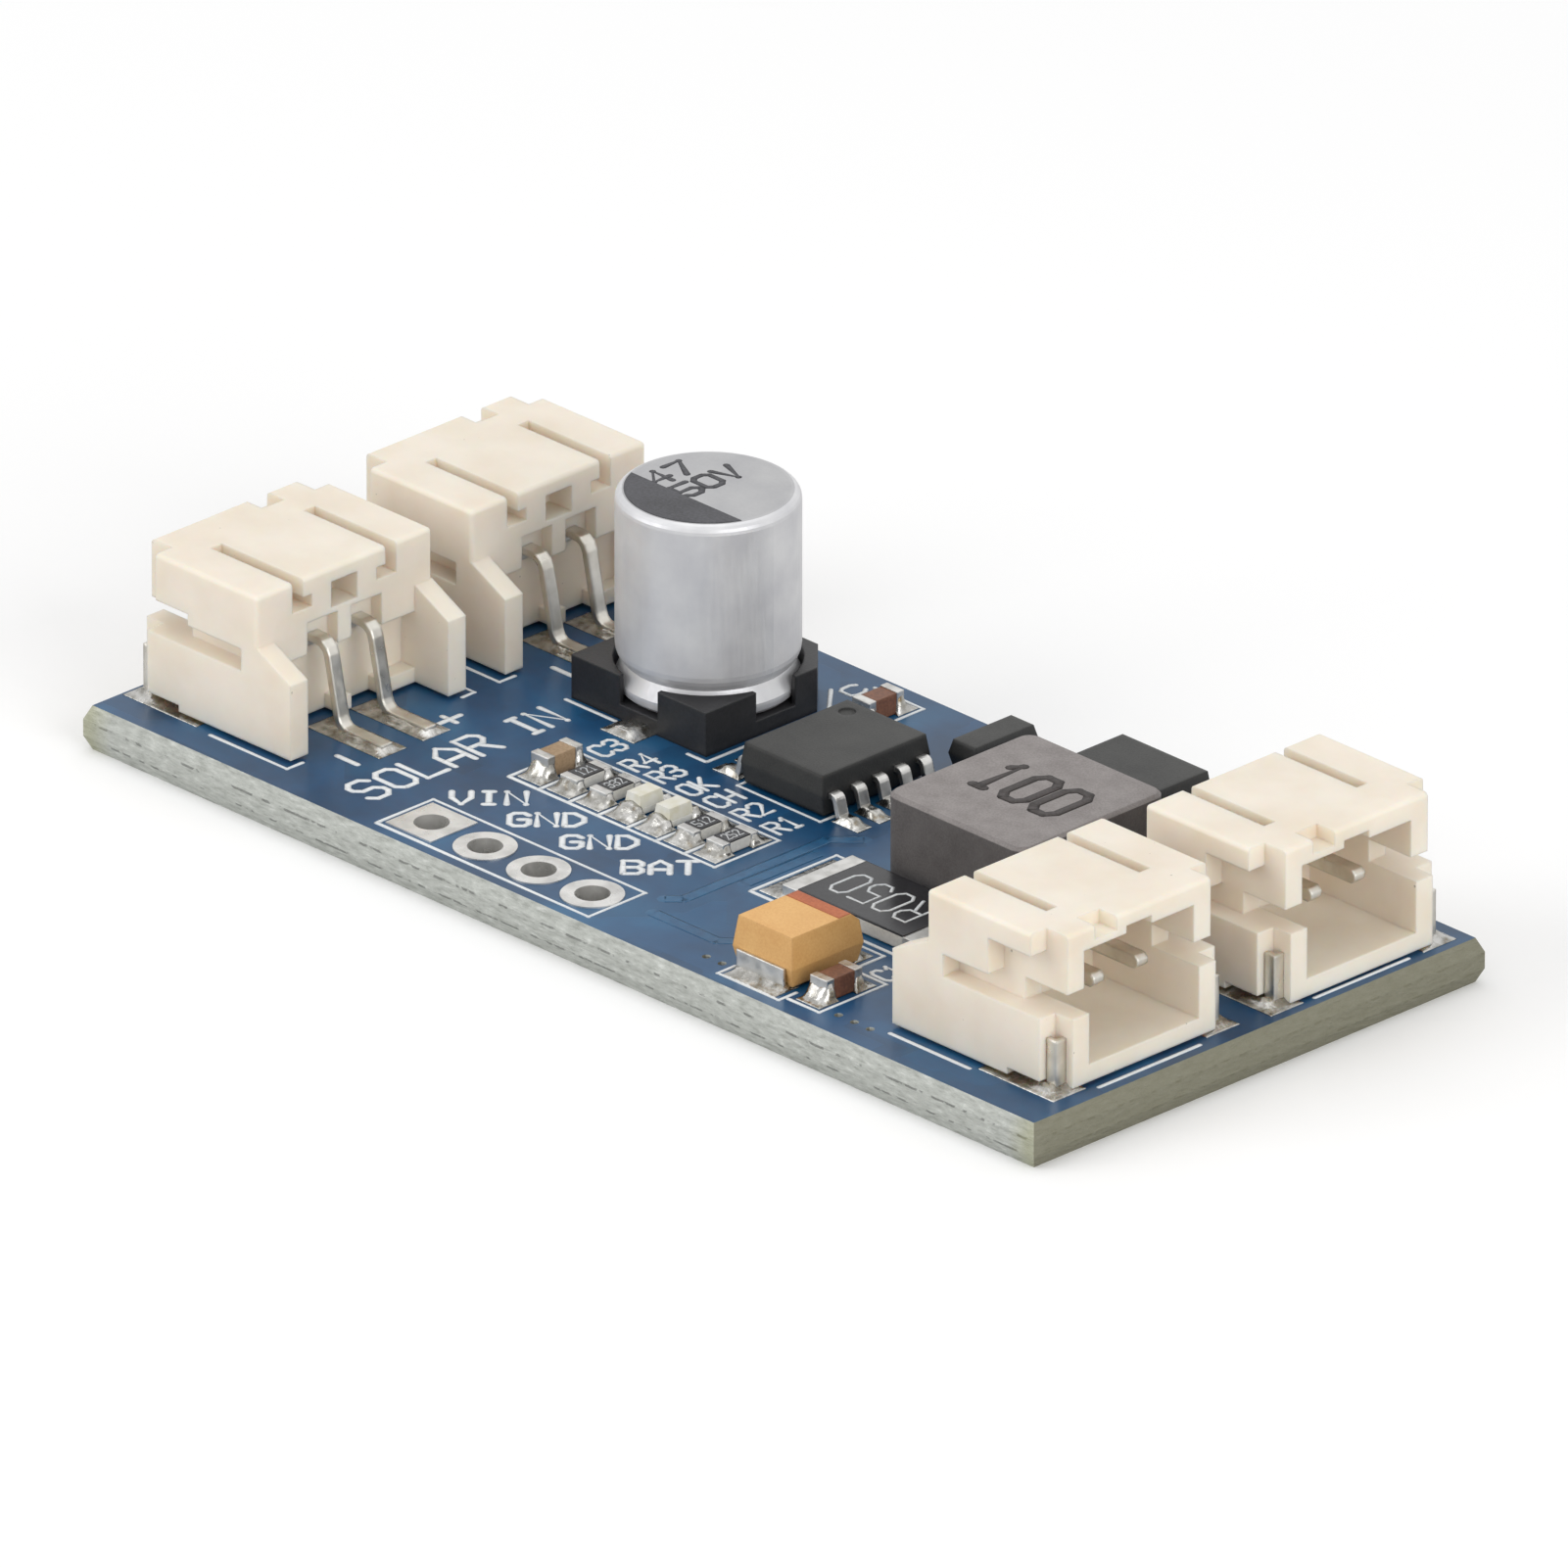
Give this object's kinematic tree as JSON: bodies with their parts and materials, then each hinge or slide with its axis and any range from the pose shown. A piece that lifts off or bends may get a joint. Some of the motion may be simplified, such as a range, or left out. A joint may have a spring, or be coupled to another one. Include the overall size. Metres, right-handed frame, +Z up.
{
  "type": "solar charge controller",
  "caption": "Small blue circuit board that charges a battery from a solar panel, with ivory side-entry wire sockets at both ends, a can capacitor, a square inductor and a row of plated holes.",
  "frame": {"origin": "centre of the board's underside", "axes": "+X along the board towards the output sockets, +Y across it away from the plated holes, +Z up out of the board's face"},
  "size_m": [0.045, 0.0206, 0.0093],
  "materials": {
    "board": "satin solder mask over glass laminate",
    "solder_plate": "bright solder plate",
    "socket_plastic": "satin ivory nylon",
    "contact_metal": "bright tinned brass",
    "can_metal": "fine brushed",
    "base_plastic": "satin black",
    "package_black": "matt black moulding compound",
    "lead_metal": "matt tin",
    "inductor_block": "painted grey pressed powder",
    "ceramic_white": "matt alumina",
    "ceramic_brown": "matt brown ceramic",
    "ceramic_tan": "matt tan ceramic",
    "resistor_coat": "glassy black",
    "tantalum_plastic": "matt amber moulding compound",
    "lamp_substrate": "matt white",
    "lamp_lens": "clear pale yellow"
  },
  "bodies": {
    "root": {"circuit_board": "board", "header_hole_plating": "solder_plate", "solar_socket_near_housing": "socket_plastic", "solar_socket_near_contacts": "contact_metal", "solar_socket_near_tabs": "contact_metal", "solar_socket_far_housing": "socket_plastic", "solar_socket_far_contacts": "contact_metal", "solar_socket_far_tabs": "contact_metal", "output_socket_near_housing": "socket_plastic", "output_socket_near_contacts": "contact_metal", "output_socket_near_tabs": "contact_metal", "output_socket_far_housing": "socket_plastic", "output_socket_far_contacts": "contact_metal", "output_socket_far_tabs": "contact_metal", "capacitor_can": "can_metal", "capacitor_base": "base_plastic", "capacitor_leads": "lead_metal", "charger_chip_body": "package_black", "charger_chip_leads": "lead_metal", "inductor_body": "inductor_block", "inductor_terminals": "lead_metal", "sense_resistor_body": "ceramic_white", "sense_resistor_coat": "resistor_coat", "sense_resistor_caps": "lead_metal", "tantalum_body": "tantalum_plastic", "tantalum_terminals": "lead_metal", "diode_body": "package_black", "diode_leads": "lead_metal", "transistor_body": "package_black", "transistor_leads": "lead_metal", "ceramic_capacitor_1_body": "ceramic_brown", "ceramic_capacitor_1_caps": "lead_metal", "ceramic_capacitor_2_body": "ceramic_brown", "ceramic_capacitor_2_caps": "lead_metal", "ceramic_capacitor_3_body": "ceramic_tan", "ceramic_capacitor_3_caps": "lead_metal", "resistor_1_body": "ceramic_white", "resistor_1_coat": "resistor_coat", "resistor_1_caps": "lead_metal", "resistor_2_body": "ceramic_white", "resistor_2_coat": "resistor_coat", "resistor_2_caps": "lead_metal", "resistor_3_body": "ceramic_white", "resistor_3_coat": "resistor_coat", "resistor_3_caps": "lead_metal", "resistor_4_body": "ceramic_white", "resistor_4_coat": "resistor_coat", "resistor_4_caps": "lead_metal", "full_lamp_base": "lamp_substrate", "full_lamp_lens": "lamp_lens", "full_lamp_caps": "lead_metal", "charging_lamp_base": "lamp_substrate", "charging_lamp_lens": "lamp_lens", "charging_lamp_caps": "lead_metal"}
  },
  "joints": []
}
